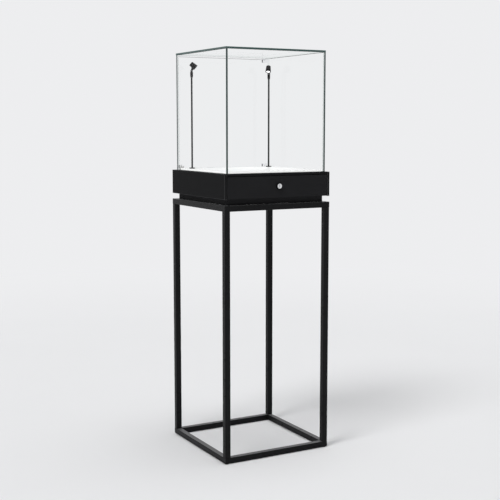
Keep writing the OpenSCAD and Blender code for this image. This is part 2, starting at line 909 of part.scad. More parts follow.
// The cam lies level when unlocked; a quarter turn clockwise brings it up
module lock_cam() {
    color(steel) on_lock_axis(cam_y0) difference() {
        union() {
            cylinder(h = cam_t, d = cam_w);
            block([cam_w / 2 - cam_reach, -cam_w / 2, 0], [0, cam_w / 2, cam_t]);
            translate([cam_w / 2 - cam_reach, 0, 0]) cylinder(h = cam_t, d = cam_w);
        }
        translate([0, 0, -cut]) cylinder(h = cam_t + 2 * cut, d = rivet_d + 2 * screw_clear);
    }
}

module strike_screw_places() {
    for (s = [-1, 1]) translate([s * strike_screw_x, strike_y + strike_screw_y, 0]) children();
}

// Angle under the case top that the raised cam catches behind
module lock_strike() {
    color(black) difference() {
        union() {
            block([-strike_half, strike_y, z_under - strike_lip],
                  [strike_half, strike_y + strike_sheet, z_under]);
            block([-strike_half, strike_y, z_under - strike_sheet],
                  [strike_half, strike_y + strike_leg, z_under]);
        }
        strike_screw_places() translate([0, 0, z_under - strike_sheet - cut])
            cylinder(h = strike_sheet + 2 * cut, d = screw_d + 2 * screw_clear);
    }
}

// ---------------------------------------------------------------- power

module driver_screw_places() {
    for (s = [-1, 1])
        translate([s * (driver_l + driver_ear) / 2, driver_y, 0]) children();
}

module lamp_driver() {
    color(dark) difference() {
        union() {
            block([-driver_l / 2, driver_y - driver_w / 2, z_floor],
                  [driver_l / 2, driver_y + driver_w / 2, z_floor + driver_h]);
            block([-driver_l / 2 - driver_ear, driver_y - driver_w / 4, z_floor],
                  [driver_l / 2 + driver_ear, driver_y + driver_w / 4, z_floor + driver_ear_t]);
        }
        driver_screw_places() translate([0, 0, z_floor - cut])
            cylinder(h = driver_ear_t + 2 * cut, d = screw_d + 2 * screw_clear);
    }
}

// Socket through the back board: a round head outside, a bore for the plug
module power_inlet() {
    d = inlet_d + 2 * inlet_flange;
    color(dark) translate([0, half + inlet_proud, lead_z]) rotate([90, 0, 0]) difference() {
        union() {
            cylinder(h = inlet_edge, d1 = d - 2 * inlet_edge, d2 = d);
            translate([0, 0, inlet_edge]) cylinder(h = inlet_proud - inlet_edge, d = d);
            cylinder(h = inlet_proud + inlet_tail, d = inlet_d);
        }
        translate([0, 0, -cut]) difference() {
            cylinder(h = cut + socket_deep, d = socket_d);
            translate([0, 0, cut + 1]) cylinder(h = socket_deep + cut, d = socket_pin_d);
        }
    }
}

// A pan-headed screw that points up, its head's top face at z = 0
module pan_screw(len) {
    translate([0, 0, -screw_head_t]) cylinder(h = screw_head_t, d = screw_head_d);
    translate([0, 0, -screw_head_t / 2]) cylinder(h = len + screw_head_t / 2, d = screw_d);
}

module case_screws() {
    color(steel) {
        plate_screw_places() translate([0, 0, z_frame - plate_t]) pan_screw(screw_len);
        floor_screw_places() translate([0, 0, z_floor]) sunk_screw(floor_screw_len);
        plate_fix_place() translate([0, 0, z_top + pivot_plate_t]) sunk_screw(plate_screw_len);
        driver_screw_places() translate([0, 0, z_floor + driver_ear_t])
            mirror([0, 0, 1]) pan_screw(driver_ear_t + board_bite);
        strike_screw_places() translate([0, 0, z_under - strike_sheet])
            pan_screw(strike_sheet + board_bite);
        both_sides() outer_screw_places() rotate([0, -90, 0]) runner_screw();
    }
}

// ---------------------------------------------------------------- assembly

leg_front_left();
leg_front_right();
leg_back_left();
leg_back_right();
bottom_rails();
top_rails();
floor_glides();
corner_plates();
plinth();
case_floor();
case_side_left();
case_side_right();
case_back();
case_top();
deck();
lamp_feet();
lamp_stem_left();
lamp_stem_right();
locknuts();
lamp_leads();
lamp_sleeve_left();
lamp_sleeve_right();
lamp_pin_left();
lamp_pin_right();
lamp_head_left();
lamp_head_right();
lamp_bezel_left();
lamp_bezel_right();
lamp_lens_left();
lamp_lens_right();
lamp_led_left();
lamp_led_right();
drawer_front();
drawer_side_left();
drawer_side_right();
drawer_back();
drawer_floor();
runner_outer();
runner_middle();
runner_inner();
drawer_screws();
lock_body();
lock_nut();
lock_plug();
lock_cam();
lock_strike();
lamp_driver();
power_inlet();
case_screws();
pivot_plates();
pivot_washer();
door_catch();
pivot_clamp_upper();
pivot_clamp_lower();
door_strike();
glass_front();
glass_left();
glass_right();
glass_roof();
glass_door();
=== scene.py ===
"""Looks of the pedestal display case: steel frame, drawer case and lit glass case.

Shapes are made in millimetres, and become metres as each piece is finished. Finishes are
in metres, with linear colours.
"""

import json
import math

import bmesh
import bpy
from mathutils import Euler, Matrix, Vector

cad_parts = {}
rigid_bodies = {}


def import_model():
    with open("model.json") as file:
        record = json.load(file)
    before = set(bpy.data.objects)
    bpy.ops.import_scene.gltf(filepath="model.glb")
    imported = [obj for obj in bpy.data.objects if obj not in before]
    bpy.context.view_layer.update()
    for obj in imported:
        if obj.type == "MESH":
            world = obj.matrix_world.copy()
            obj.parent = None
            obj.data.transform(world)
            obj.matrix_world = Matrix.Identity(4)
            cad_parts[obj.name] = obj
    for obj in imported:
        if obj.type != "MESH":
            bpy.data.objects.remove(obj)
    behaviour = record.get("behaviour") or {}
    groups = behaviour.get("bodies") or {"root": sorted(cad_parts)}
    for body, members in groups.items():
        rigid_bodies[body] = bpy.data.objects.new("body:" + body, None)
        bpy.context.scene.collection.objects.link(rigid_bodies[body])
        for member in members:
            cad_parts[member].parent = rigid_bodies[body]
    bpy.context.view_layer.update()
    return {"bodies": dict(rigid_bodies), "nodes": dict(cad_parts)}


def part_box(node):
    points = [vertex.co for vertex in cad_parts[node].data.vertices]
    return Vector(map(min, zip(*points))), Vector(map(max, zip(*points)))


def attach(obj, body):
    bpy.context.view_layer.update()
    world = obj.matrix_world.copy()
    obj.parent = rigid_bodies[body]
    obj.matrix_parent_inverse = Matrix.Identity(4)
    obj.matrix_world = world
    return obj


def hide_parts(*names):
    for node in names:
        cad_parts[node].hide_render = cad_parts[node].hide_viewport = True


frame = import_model()

MM = 0.001
X, Y, Z = Vector((1, 0, 0)), Vector((0, 1, 0)), Vector((0, 0, 1))
Z_TO_FRONT = Matrix.Rotation(math.pi / 2, 4, "X")     # what looked up looks along -Y
WELD, FINE_WELD = 1e-3, 1e-4                          # points this close are one

# The backdrop's tone, and the plain light that fills the room
BACKDROP = (0.850, 0.853, 0.866, 1)
AMBIENT = (0.18, 0.182, 0.185, 1)


# ------------------------------------------------------------------ finishes

class Wire:
    """A socket of a node tree. Maths on wires adds Math nodes."""

    def __init__(self, tree, socket):
        self.tree, self.socket = tree, socket

    def maths(self, operation, *others):
        return self.tree.node("Math", {"operation": operation},
                              dict(enumerate((self, *others))))

    def __add__(self, other):
        return self.maths("ADD", other)

    def __sub__(self, other):
        return self.maths("SUBTRACT", other)

    def __mul__(self, other):
        return self.maths("MULTIPLY", other)

    def __abs__(self):
        return self.maths("ABSOLUTE")


class Finish:
    """The node tree of one finish, or of the room's light."""

    def __init__(self, owner):
        owner.use_nodes = True
        self.owner, self.nodes, self.links = owner, owner.node_tree.nodes, owner.node_tree.links
        self.nodes.clear()

    def node(self, kind, settings=None, values=None, out=0):
        """Adds a node: its settings first, then the values or wires of its sockets."""
        made = self.nodes.new("ShaderNode" + kind)
        for key, value in (settings or {}).items():
            setattr(made, key, value)
        for key, value in (values or {}).items():
            if isinstance(value, Wire):
                self.links.new(value.socket, made.inputs[key])
            else:
                made.inputs[key].default_value = value
        return Wire(self, made.outputs[out])

    def place(self):
        """Where a point is on the part, in metres."""
        return self.node("TexCoord", out="Object")

    def noise(self, size, detail, where=None):
        """Noise from 0 to 1 whose lumps are about size metres across."""
        return self.node("TexNoise", values={
            "Vector": where or self.place(), "Scale": 1 / size, "Detail": detail})

    def blend(self, share, low, high):
        """Colour low where share is 0 and high where it is 1."""
        return self.node("Mix", {"data_type": "RGBA"}, {0: share, 6: low, 7: high}, out=2)

    def vector(self, operation, *values, out=0):
        return self.node("VectorMath", {"operation": operation}, dict(enumerate(values)), out)

    def length(self, vector):
        return self.vector("LENGTH", vector, out="Value")

    def part(self, vector, axis):
        """One of the three numbers of a vector."""
        return self.node("SeparateXYZ", values={0: vector}, out=axis)

    def range(self, value, low, high, to_low=0.0, to_high=1.0, kind="SMOOTHSTEP"):
        return self.node("MapRange", {"interpolation_type": kind},
                         {0: value, 1: low, 2: high, 3: to_low, 4: to_high})

    def around(self, noise, middle, spread):
        """A number near middle that follows a noise."""
        return self.range(noise, 0.25, 0.75, middle - spread, middle + spread, "LINEAR")

    def bump(self, height, depth):
        """A normal from a height of 0 to 1 that stands for depth metres."""
        return self.node("Bump", values={"Height": height, "Distance": depth})

    def mix(self, share, first, second):
        return self.node("MixShader", values={0: share, 1: first, 2: second})

    def done(self, shader, output="OutputMaterial"):
        made = self.nodes.new("ShaderNode" + output)
        self.links.new(shader.socket, made.inputs["Surface"])
        return self.owner


def finish(name):
    return Finish(bpy.data.materials.new(name))


def principled(tree, **values):
    return tree.node("BsdfPrincipled", values={
        key.replace("_", " "): value for key, value in values.items()})


CLOUD, RUB, SMEAR, BRUSH = 0.09, 0.018, 0.012, 0.0006     # sizes of the noises
FINE = 0.00001                                            # depth of the smoothest coats
# the colour of the painted glow that the white deck's rim gives out
PAINTED_RIM_GLOW = (1.0, 0.995, 0.985, 1)


def coating(name, dark, light, roughness, peel, shine=0.5, depth=0.00003, painted_top_sheen=None, glow=0.0):
    """Paint, lacquer or moulded plastic: a skin of lumps that are peel metres across.

    The colour given for faces that look up paints a sheen on them: painted light, lighter than
    the coat, with a little random change.
    glow is painted light that the piece gives out though it is no lamp; it is given to the rim of
    the white deck.
    """
    tree = finish(name)
    cloud, grain, rub = tree.noise(CLOUD, 3), tree.noise(peel, 2), tree.noise(RUB, 4)
    colour = tree.blend(cloud * 0.6 + grain * 0.4, (*dark, 1), (*light, 1))
    # faces that look up are lightened towards the top colour: a painted sheen, painted light
    if painted_top_sheen:
        up = tree.part(tree.node("TexCoord", out="Normal"), "Z")
        film = tree.range(up, 0.80, 0.98) * tree.range(rub, 0.2, 0.8, 0.8, 1.0)
        colour = tree.blend(film, colour, (*painted_top_sheen, 1))
    return tree.done(principled(
        tree,
        Base_Color=colour,
        Roughness=tree.around(cloud * 0.4 + rub * 0.6, roughness, 0.08),
        Specular_IOR_Level=shine,
        Emission_Color=PAINTED_RIM_GLOW,
        Emission_Strength=glow,
        Normal=tree.bump(grain, depth)))


def metal(name, colour, roughness, brushed=None, darker=0.86):
    """Plated or bare metal, brushed where brushed gives the scale of the lines."""
    tree = finish(name)
    smear = tree.noise(SMEAR, 4)
    where = tree.place()
    if brushed:
        where = tree.node("Mapping", values={"Vector": where, "Scale": brushed})
    lines = tree.noise(BRUSH, 3, where)
    low = tuple(c * darker for c in colour)
    return tree.done(principled(
        tree,
        Base_Color=tree.blend(smear * 0.5 + lines * 0.5, (*low, 1), (*colour, 1)),
        Metallic=1.0,
        Roughness=tree.around(smear * 0.6 + lines * 0.4, roughness, 0.06),
        Normal=tree.bump(lines, 0.000012)))


def clear_pane():
    """The faces of the glass: see-through, with the shine of polished glass."""
    tree = finish("pane_face")
    film = tree.noise(0.07, 3)
    slant = tree.node("LayerWeight", values={"Blend": 0.5}, out="Facing")
    mirror = slant.maths("POWER", 5.0) * 0.16 + 0.014
    see = tree.node("BsdfTransparent", values={"Color": (0.998, 1.0, 0.999, 1)})
    shine = tree.node("BsdfGlossy", {"distribution": "GGX"}, {
        "Color": (1, 1, 1, 1), "Roughness": tree.range(film, 0.3, 0.8, 0.0, 0.02)})
    return tree.done(tree.mix(mirror * tree.range(film, 0.2, 0.8, 0.9, 1.0), see, shine))


def glass_edge(name, deep, pale, roughness, clear=0.0, clear_inside=0.7, dense_within=None,
               shine=0.5):
    """Ground and polished edges: clear and clear_inside are the shares that are seen
    through from outside and from inside the pane.

    Where dense_within is given, an edge keeps most of its density up to that far from the
    middle of the part.
    """
    tree = finish(name)
    ripple = tree.noise(0.004, 3)
    shader = principled(
        tree,
        Base_Color=tree.blend(ripple, (*deep, 1), (*pale, 1)),
        Roughness=tree.range(ripple, 0.3, 0.7, roughness * 0.7, roughness * 1.3),
        Specular_IOR_Level=shine)
    inside = tree.node("NewGeometry", out="Backfacing")
    if dense_within:
        clear_where_dense, soften = 0.15, 0.0004
        clear_inside = tree.range(abs(tree.part(tree.place(), "X")), dense_within - soften,
                                  dense_within + soften, clear_where_dense, clear_inside)
    through = tree.node("BsdfTransparent", values={"Color": (0.96, 0.985, 0.975, 1)})
    return tree.done(tree.mix(inside * (clear_inside - clear) + clear, shader, through))


def lit_lens(name, centre, axis):
    """A lit lens with fine rings, brightest in its middle."""
    tree = finish(name)
    arm = tree.vector("SUBTRACT", tree.place(), tuple(centre))
    radius = tree.length(tree.vector("CROSS_PRODUCT", arm, tuple(axis)))
    rings = (radius * 9000).maths("SINE") * 0.5 + 0.5
    core = tree.range(radius, 0.0020, 0.0072, 1.0, 0.0)
    return tree.done(principled(
        tree,
        Base_Color=tree.blend(rings, (0.80, 0.81, 0.82, 1), (0.90, 0.90, 0.90, 1)),
        Roughness=0.12,
        Emission_Color=tree.blend(core, (0.78, 0.80, 0.82, 1), (1.0, 0.985, 0.95, 1)),
        Emission_Strength=1.6,
        Normal=tree.bump(rings, 0.00005)))


DECK_WHITES = (0.85, 0.855, 0.855), (0.885, 0.89, 0.89)
EDGE_GREENS = (0.012, 0.031, 0.028), (0.032, 0.064, 0.059)

FINISHES = {
    # the frame's coat gets the painted sheen on its faces that look up
    "frame_coat": coating(
        "powder_coat", (0.0100, 0.0101, 0.0107), (0.0130, 0.0131, 0.0138), roughness=0.30,
        peel=0.0011, shine=0.06, depth=FINE, painted_top_sheen=(0.105, 0.106, 0.109)),
    "case_board": coating(
        "black_lacquer", (0.0138, 0.0139, 0.0146), (0.0166, 0.0167, 0.0174), roughness=0.42,
        peel=0.0030, shine=0.006, depth=FINE),
    "drawer_board": coating(
        "charcoal_board", (0.012, 0.012, 0.013), (0.022, 0.022, 0.023), roughness=0.50,
        peel=0.0009, shine=0.4),
    "deck_white": coating(
        "white_deck", *DECK_WHITES, roughness=0.32, peel=0.0012, depth=FINE),
    "chrome": metal("polished_chrome", (0.92, 0.925, 0.935), roughness=0.10, darker=0.95),
    "steel": metal("zinc_steel", (0.56, 0.57, 0.59), roughness=0.34, brushed=(1, 6, 1)),
    "lamp_black": coating(
        "lamp_anodised", (0.0055, 0.0056, 0.0062), (0.0085, 0.0087, 0.0095), roughness=0.28,
        peel=0.0006, shine=0.01, depth=FINE),
    "light_board": coating(
        "phosphor_board", (0.80, 0.76, 0.58), (0.92, 0.90, 0.80), roughness=0.5, peel=0.002),
    "black_plastic": coating(
        "black_moulding", (0.009, 0.009, 0.010), (0.015, 0.015, 0.016), roughness=0.45,
        peel=0.0007),
    "white_plastic": coating(
        "white_moulding", (0.72, 0.72, 0.71), (0.80, 0.80, 0.79), roughness=0.40,
        peel=0.0007),
}

# Finishes of single pieces, which differ a little from those of their slots. Some of them paint
# light, as said above each.
LOCK_CHROME = metal("lock_chrome", (0.80, 0.805, 0.815), roughness=0.16, darker=0.80)
STRIKE_CHROME = metal("strike_chrome", (0.95, 0.955, 0.96), roughness=0.30, darker=0.97)
# a lighter copy of the case's black lacquer: painted light on the drawer front, which the lamps
# light less than the case's left side
FRONT_LACQUER_PAINTED_LIGHTER = coating(
    "front_lacquer_painted_lighter", (0.0195, 0.0196, 0.0208), (0.0250, 0.0251, 0.0265), roughness=0.42,
    peel=0.0030, shine=0.006, depth=FINE)
# lighter than the case's black: painted light that makes up for the shade under the case's
# overhang
PLINTH_BLACK_PAINTED_LIGHTER = coating(
    "plinth_black_painted_lighter", (0.0280, 0.0281, 0.0295), (0.0330, 0.0331, 0.0345), roughness=0.55,
    peel=0.0012, shine=0.01)
# the white deck's rim: the same white with a painted glow, light that the rim gives out though it
# is no lamp
DECK_RIM_PAINTED_GLOW = coating(
    "white_deck_rim_painted_glow", *DECK_WHITES, roughness=0.32, peel=0.0012, depth=FINE, glow=0.55)
# a painted highlight on the rounded edges of the case's sides: a lighter black that stands for
# light caught by the edges
PAINTED_EDGE_HIGHLIGHT = coating(
    "painted_edge_highlight", (0.075, 0.0753, 0.078), (0.095, 0.0953, 0.098), roughness=0.42,
    peel=0.0012, shine=0.006, depth=FINE)
FOOT_BLACK = coating(
    "foot_black", (0.0050, 0.0051, 0.0056), (0.0080, 0.0082, 0.0090), roughness=0.50,
    peel=0.0006, shine=0.0, depth=FINE)
LOCK_BLACK = coating(
    "blackened_collar", (0.0035, 0.0035, 0.0038), (0.0060, 0.0060, 0.0064), roughness=0.42,
    peel=0.0008, shine=0.03)

PANE_FACE = clear_pane()
PANE_EDGE = glass_edge("pane_edge", *EDGE_GREENS, roughness=0.10)
PANE_ARRIS = glass_edge("pane_arris", (0.14, 0.20, 0.19), (0.22, 0.29, 0.27), roughness=0.35)
ROOF_EDGE = glass_edge(
    "roof_edge", (0.016, 0.052, 0.047), (0.042, 0.100, 0.092), roughness=0.10)
ROOF_ARRIS = glass_edge("roof_arris", (0.06, 0.13, 0.12), (0.11, 0.21, 0.19), roughness=0.35)
DOOR_EDGE = glass_edge("door_edge", (0.05, 0.09, 0.08), (0.10, 0.15, 0.14), roughness=0.10,
                       clear=0.75, clear_inside=0.95)
DOOR_ARRIS = glass_edge("door_arris", (0.20, 0.27, 0.255), (0.30, 0.37, 0.35),
                        roughness=0.35, clear=0.7, clear_inside=0.95)
FAR_EDGE = glass_edge("far_edge", *EDGE_GREENS, roughness=0.10, clear_inside=0.93)
REAR_EDGE = glass_edge("rear_edge", *EDGE_GREENS, roughness=0.10, clear_inside=0.93,
                       dense_within=0.1915)
THIN_LINE = glass_edge("thin_line", (0.010, 0.013, 0.013), (0.020, 0.025, 0.024),
                       roughness=0.40, clear_inside=0.0, shine=0.0)
BOND_LINE = glass_edge("bond_line", (0.012, 0.028, 0.025), (0.024, 0.048, 0.044),
                       roughness=0.40, clear_inside=0.0, shine=0.0)


# ------------------------------------------------------------------ shapes

def span(node):
    """Low and high corner of a CAD node, in millimetres."""
    low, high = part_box(node)
    return low / MM, high / MM


def block(low, high):
    bm = bmesh.new()
    bmesh.ops.create_cube(bm, size=1)
    bmesh.ops.scale(bm, vec=high - low, verts=bm.verts)
    bmesh.ops.translate(bm, vec=(low + high) / 2, verts=bm.verts)
    return bm


SHARP = math.radians(30)


def eased(bm, width, segments=3, finish_of_edge=-1, least=0.0):
    """Rounds every edge that is sharper than SHARP and longer than least."""
    sharp = [e for e in bm.edges if e.is_manifold and e.calc_length() > least
             and e.calc_face_angle(0) > SHARP]
    bmesh.ops.bevel(bm, geom=sharp, offset=width, offset_type="OFFSET", affect="EDGES",
                    segments=segments, profile=0.5, material=finish_of_edge, clamp_overlap=True)
    return bm


def turned(profile, place=Matrix.Identity(4), steps=64, ring=False):
    """A shape spun about its own Z axis from (radius, height) points.

    The profile of a ring is closed, and keeps clear of the axis.
    """
    bm = bmesh.new()
    points = [bm.verts.new((r, 0, h)) for r, h in profile]
    follow = points[1:] + points[:1] if ring else points[1:]
    lines = [bm.edges.new(pair) for pair in zip(points, follow)]
    bmesh.ops.spin(bm, geom=points + lines, cent=(0, 0, 0), axis=(0, 0, 1), angle=math.tau,
                   steps=steps, use_merge=True, use_duplicate=False)
    bmesh.ops.remove_doubles(bm, verts=bm.verts, dist=FINE_WELD)
    bmesh.ops.recalc_face_normals(bm, faces=bm.faces)
    bmesh.ops.transform(bm, matrix=place, verts=bm.verts)
    return bm


def copy_of(node):
    """A node's own solids in millimetres, with their loose triangles joined into faces."""
    bm = bmesh.new()
    bm.from_mesh(frame["nodes"][node].data)
    bmesh.ops.scale(bm, vec=(1 / MM,) * 3, verts=bm.verts)
    bmesh.ops.remove_doubles(bm, verts=bm.verts, dist=WELD)
    bmesh.ops.dissolve_limit(bm, angle_limit=math.radians(0.5), verts=bm.verts, edges=bm.edges)
    return bm


def piece(name, parts, finishes, body, nodes, sharp=35):
    """Joins parts into one named piece that rides on a body and stands for CAD nodes."""
    mesh = bpy.data.meshes.new(name)
    joined = bmesh.new()
    for part in parts:
        part.to_mesh(mesh)
        joined.from_mesh(mesh)
        part.free()
    bmesh.ops.scale(joined, vec=(MM,) * 3, verts=joined.verts)
    joined.to_mesh(mesh)
    joined.free()
    mesh.shade_smooth()
    mesh.set_sharp_from_angle(angle=math.radians(sharp))
    made = bpy.data.objects.new(name, mesh)
    bpy.context.scene.collection.objects.link(made)
    for material in finishes:
        mesh.materials.append(material)
    even = made.modifiers.new("even_shading", "WEIGHTED_NORMAL")
    even.keep_sharp = True
    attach(made, body)
    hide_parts(*nodes)


def coated(name, parts, slot, body, node):
    """A piece of one finish, which is that of its material slot."""
    piece(name, parts, [FINISHES[slot]], body, [node])


def dressed(node, slot):
    """Gives a CAD node, whose shape stays as it is, the finish of its slot."""
    mesh = frame["nodes"][node].data
    mesh.materials.clear()
    mesh.materials.append(FINISHES[slot])


# ------------------------------------------------------------------ frame

TUBE_WALL = 1.5
TUBE_ROUND, BORE_ROUND = 1.6, 0.55        # corner radii of the square tube, outside and in


def tube_section(size, rounding):
    """A square with rounded corners in the XY plane."""
    bm = bmesh.new()
    bmesh.ops.create_grid(bm, x_segments=1, y_segments=1, size=size / 2)
    bmesh.ops.bevel(bm, geom=bm.verts[:], offset=rounding, affect="VERTICES", segments=4,
                    profile=0.5, material=-1)
    return bm


def square_tube(low, high):
    """An upright tube: the section's face is inset by the wall and drawn up."""
    bm = tube_section(high.x - low.x, TUBE_ROUND)
    inset = bmesh.ops.inset_region(bm, faces=bm.faces[:], thickness=TUBE_WALL,
                                   use_boundary=True, use_even_offset=True)
    bore = [f for f in bm.faces if f not in set(inset["faces"])]
    bmesh.ops.delete(bm, geom=bore, context="FACES")
    drawn = bmesh.ops.extrude_face_region(bm, geom=bm.faces[:])["geom"]
    bmesh.ops.translate(bm, vec=(0, 0, high.z - low.z),
                        verts=[v for v in drawn if isinstance(v, bmesh.types.BMVert)])
    bmesh.ops.recalc_face_normals(bm, faces=bm.faces)
    bmesh.ops.translate(bm, vec=((low.x + high.x) / 2, (low.y + high.y) / 2, low.z),
                        verts=bm.verts)
    return bm


def mitred_ring(low, high, rounding, wall=0.0):
    """Four mitred rails: one section on the diagonal, spun in four steps.

    Where a wall is given, this is the bore inside that wall, and its faces look inwards.
    """
    bm = tube_section(high.z - low.z - 2 * wall, rounding)
    bmesh.ops.delete(bm, geom=bm.faces[:], context="FACES_ONLY")
    diagonal = math.sqrt(2)
    middle = high.x - (high.z - low.z) / 2
    stretch = Matrix.Diagonal((diagonal, 1, 1, 1))
    bmesh.ops.transform(bm, matrix=stretch @ Z_TO_FRONT, verts=bm.verts)
    bmesh.ops.translate(bm, vec=(middle * diagonal, 0, (low.z + high.z) / 2), verts=bm.verts)
    bmesh.ops.rotate(bm, cent=(0, 0, 0), matrix=Matrix.Rotation(math.pi / 4, 3, "Z"),
                     verts=bm.verts)
    bmesh.ops.spin(bm, geom=bm.verts[:] + bm.edges[:], cent=(0, 0, 0), axis=(0, 0, 1),
                   angle=math.tau, steps=4, use_merge=True, use_duplicate=False)
    bmesh.ops.remove_doubles(bm, verts=bm.verts, dist=WELD)
    bmesh.ops.recalc_face_normals(bm, faces=bm.faces)
    if wall:
        bmesh.ops.reverse_faces(bm, faces=bm.faces)
    return bm


for leg in ("leg_front_left", "leg_front_right", "leg_back_left", "leg_back_right"):
    coated("tube_" + leg, [square_tube(*span(leg))], "frame_coat", "cabinet", leg)
for ring in ("bottom_rails", "top_rails"):
    low, high = span(ring)
    coated("welded_" + ring, [mitred_ring(low, high, TUBE_ROUND),
                              mitred_ring(low, high, BORE_ROUND, TUBE_WALL)],
           "frame_coat", "cabinet", ring)

GLIDE_R, GLIDE_EDGE = 8.0, 0.6
low, high = span("floor_glides")
glide_at = high.x - GLIDE_R
glide = [(0, 0), (GLIDE_R - GLIDE_EDGE, 0), (GLIDE_R, GLIDE_EDGE), (GLIDE_R, high.z), (0, high.z)]
coated("nylon_glides", [
    turned(glide, Matrix.Translation((sx * glide_at, sy * glide_at, 0)))
    for sx in (-1, 1) for sy in (-1, 1)], "black_plastic", "cabinet", "floor_glides")


# ------------------------------------------------------------------ boards and plates

BOARD_EDGE, DECK_EDGE, SHEET_EDGE = 0.7, 0.8, 0.25
HOLE_CHORD = 2.5          # edges of drilled holes are shorter than this, and stay sharp
BOARD_SLOTS = ("case_board", "drawer_board")

# node, slot, body, and the width of its rounded edges
for node, slot, body, edge in (
        ("corner_plates", "frame_coat", "cabinet", 0.4),
        ("case_floor", "case_board", "cabinet", BOARD_EDGE),
        ("case_back", "case_board", "cabinet", BOARD_EDGE),
        ("case_top", "case_board", "cabinet", 0.3),
        ("drawer_side_left", "drawer_board", "drawer", BOARD_EDGE),
        ("drawer_side_right", "drawer_board", "drawer", BOARD_EDGE),
        ("drawer_back", "drawer_board", "drawer", BOARD_EDGE),
        ("drawer_floor", "drawer_board", "drawer", 0.4),
        ("runner_outer", "steel", "cabinet", SHEET_EDGE),
        ("runner_middle", "steel", "runner_slides", SHEET_EDGE),
        ("runner_inner", "steel", "drawer", SHEET_EDGE),
        ("lock_strike", "frame_coat", "cabinet", 0.3),
        ("lock_cam", "steel", "lock", 0.3),
        ("lock_nut", "steel", "drawer", 0.4),
        ("locknuts", "steel", "cabinet", 0.3),
        ("lamp_driver", "black_plastic", "cabinet", 0.8),
        ("power_inlet", "black_plastic", "cabinet", 0.3),
        ("pivot_plates", "chrome", "cabinet", 0.35),
        ("door_catch", "white_plastic", "cabinet", 0.6)):
    least = HOLE_CHORD if slot in BOARD_SLOTS else 0
    coated(node + "_eased", [eased(copy_of(node), edge, least=least)], slot, body, node)

deck = eased(copy_of("deck"), DECK_EDGE, least=HOLE_CHORD)
# the rim's faces get the finish with the painted glow
for face in deck.faces:
    face.material_index = int(abs(face.normal.z) < 0.5)     # the rim's own finish
piece("deck_eased", [deck], [FINISHES["deck_white"], DECK_RIM_PAINTED_GLOW], "cabinet", ["deck"])

# Boards with a finish of their own. A second finish is that of the rounded edges, which paints a
# highlight on them.
for node, body, finishes in (
        ("case_side_left", "cabinet", [FINISHES["case_board"], PAINTED_EDGE_HIGHLIGHT]),
        ("case_side_right", "cabinet", [FINISHES["case_board"], PAINTED_EDGE_HIGHLIGHT]),
        ("drawer_front", "drawer", [FRONT_LACQUER_PAINTED_LIGHTER]),
        ("plinth", "cabinet", [PLINTH_BLACK_PAINTED_LIGHTER])):
    board = eased(copy_of(node), BOARD_EDGE, least=HOLE_CHORD,
                  finish_of_edge=1 if len(finishes) > 1 else -1)
    piece(node + "_eased", [board], finishes, body, [node])

piece("door_strike_eased", [eased(copy_of("door_strike"), SHEET_EDGE)], [STRIKE_CHROME], "door",
      ["door_strike"])


# ------------------------------------------------------------------ glass

BOND = 0.05               # half the thickness of a glued joint
ARRIS = 0.6
WITH_ARRIS, ALONE = 0.6, 0.9      # how closely faces look the named way, with their arris or not
FACE, EDGE, ARRISES = 0, 1, 2     # material numbers of every pane


def pane(name, body, trim_low=(0, 0, 0), trim_high=(0, 0, 0), special=()):
    """A pane with ground arrises: its two faces are clear, its edges show their depth.

    special gives edges of another finish: the way they face, how closely, and the finish.
    """
    low, high = span(name)
    low, high = low + Vector(trim_low), high - Vector(trim_high)
    size = high - low
    thin = min(range(3), key=lambda i: size[i])
    bm = block(low, high)
    for face in bm.faces:
        face.material_index = FACE if abs(face.normal[thin]) > 0.9 else EDGE
    edges = [e for e in bm.edges if any(f.material_index == FACE for f in e.link_faces)]
    bmesh.ops.bevel(bm, geom=edges, offset=ARRIS, offset_type="OFFSET", affect="EDGES",
                    segments=1, profile=0.5, material=ARRISES, clamp_overlap=True)
    for index, (way, closely, _) in enumerate(special, ARRISES + 1):
        for face in bm.faces:
            if face.material_index and face.normal.dot(way.normalized()) > closely:
                face.material_index = index
    edge, arris = (DOOR_EDGE, DOOR_ARRIS) if body == "door" else (PANE_EDGE, PANE_ARRIS)
    piece("pane_of_" + name, [bm], [PANE_FACE, edge, arris, *(entry[2] for entry in special)],
          body, [name], sharp=20)


pane("glass_front", "cabinet", trim_low=(BOND, 0, 0), trim_high=(BOND, 0, BOND),
     special=[(Z, WITH_ARRIS, BOND_LINE)])
pane("glass_left", "cabinet", trim_high=(0, 0, BOND),
     special=[(Y, WITH_ARRIS, REAR_EDGE), (Z, WITH_ARRIS, BOND_LINE)])
pane("glass_right", "cabinet", trim_high=(0, 0, BOND),
     special=[(Y, WITH_ARRIS, FAR_EDGE), (Z, WITH_ARRIS, THIN_LINE)])
pane("glass_roof", "cabinet", trim_low=(0, 0, BOND),
     special=[(-X, WITH_ARRIS, ROOF_ARRIS), (-Y, WITH_ARRIS, ROOF_ARRIS),
              (-X, ALONE, ROOF_EDGE), (-Y, ALONE, ROOF_EDGE),
              (X, WITH_ARRIS, FAR_EDGE), (Y, WITH_ARRIS, FAR_EDGE), (Y - Z, ALONE, THIN_LINE)])
pane("glass_door", "door", special=[(Z, WITH_ARRIS, THIN_LINE)])


# ------------------------------------------------------------------ fittings of the door

SCREW_R, SCREW_PROUD, SCREW_SUNK, SCREW_EDGE = 2.0, 0.35, 2.0, 0.2
SOCKET_R, SOCKET_DEPTH = 1.0, 0.9
SCREW_ASIDE = 6           # from the middle of the clamp


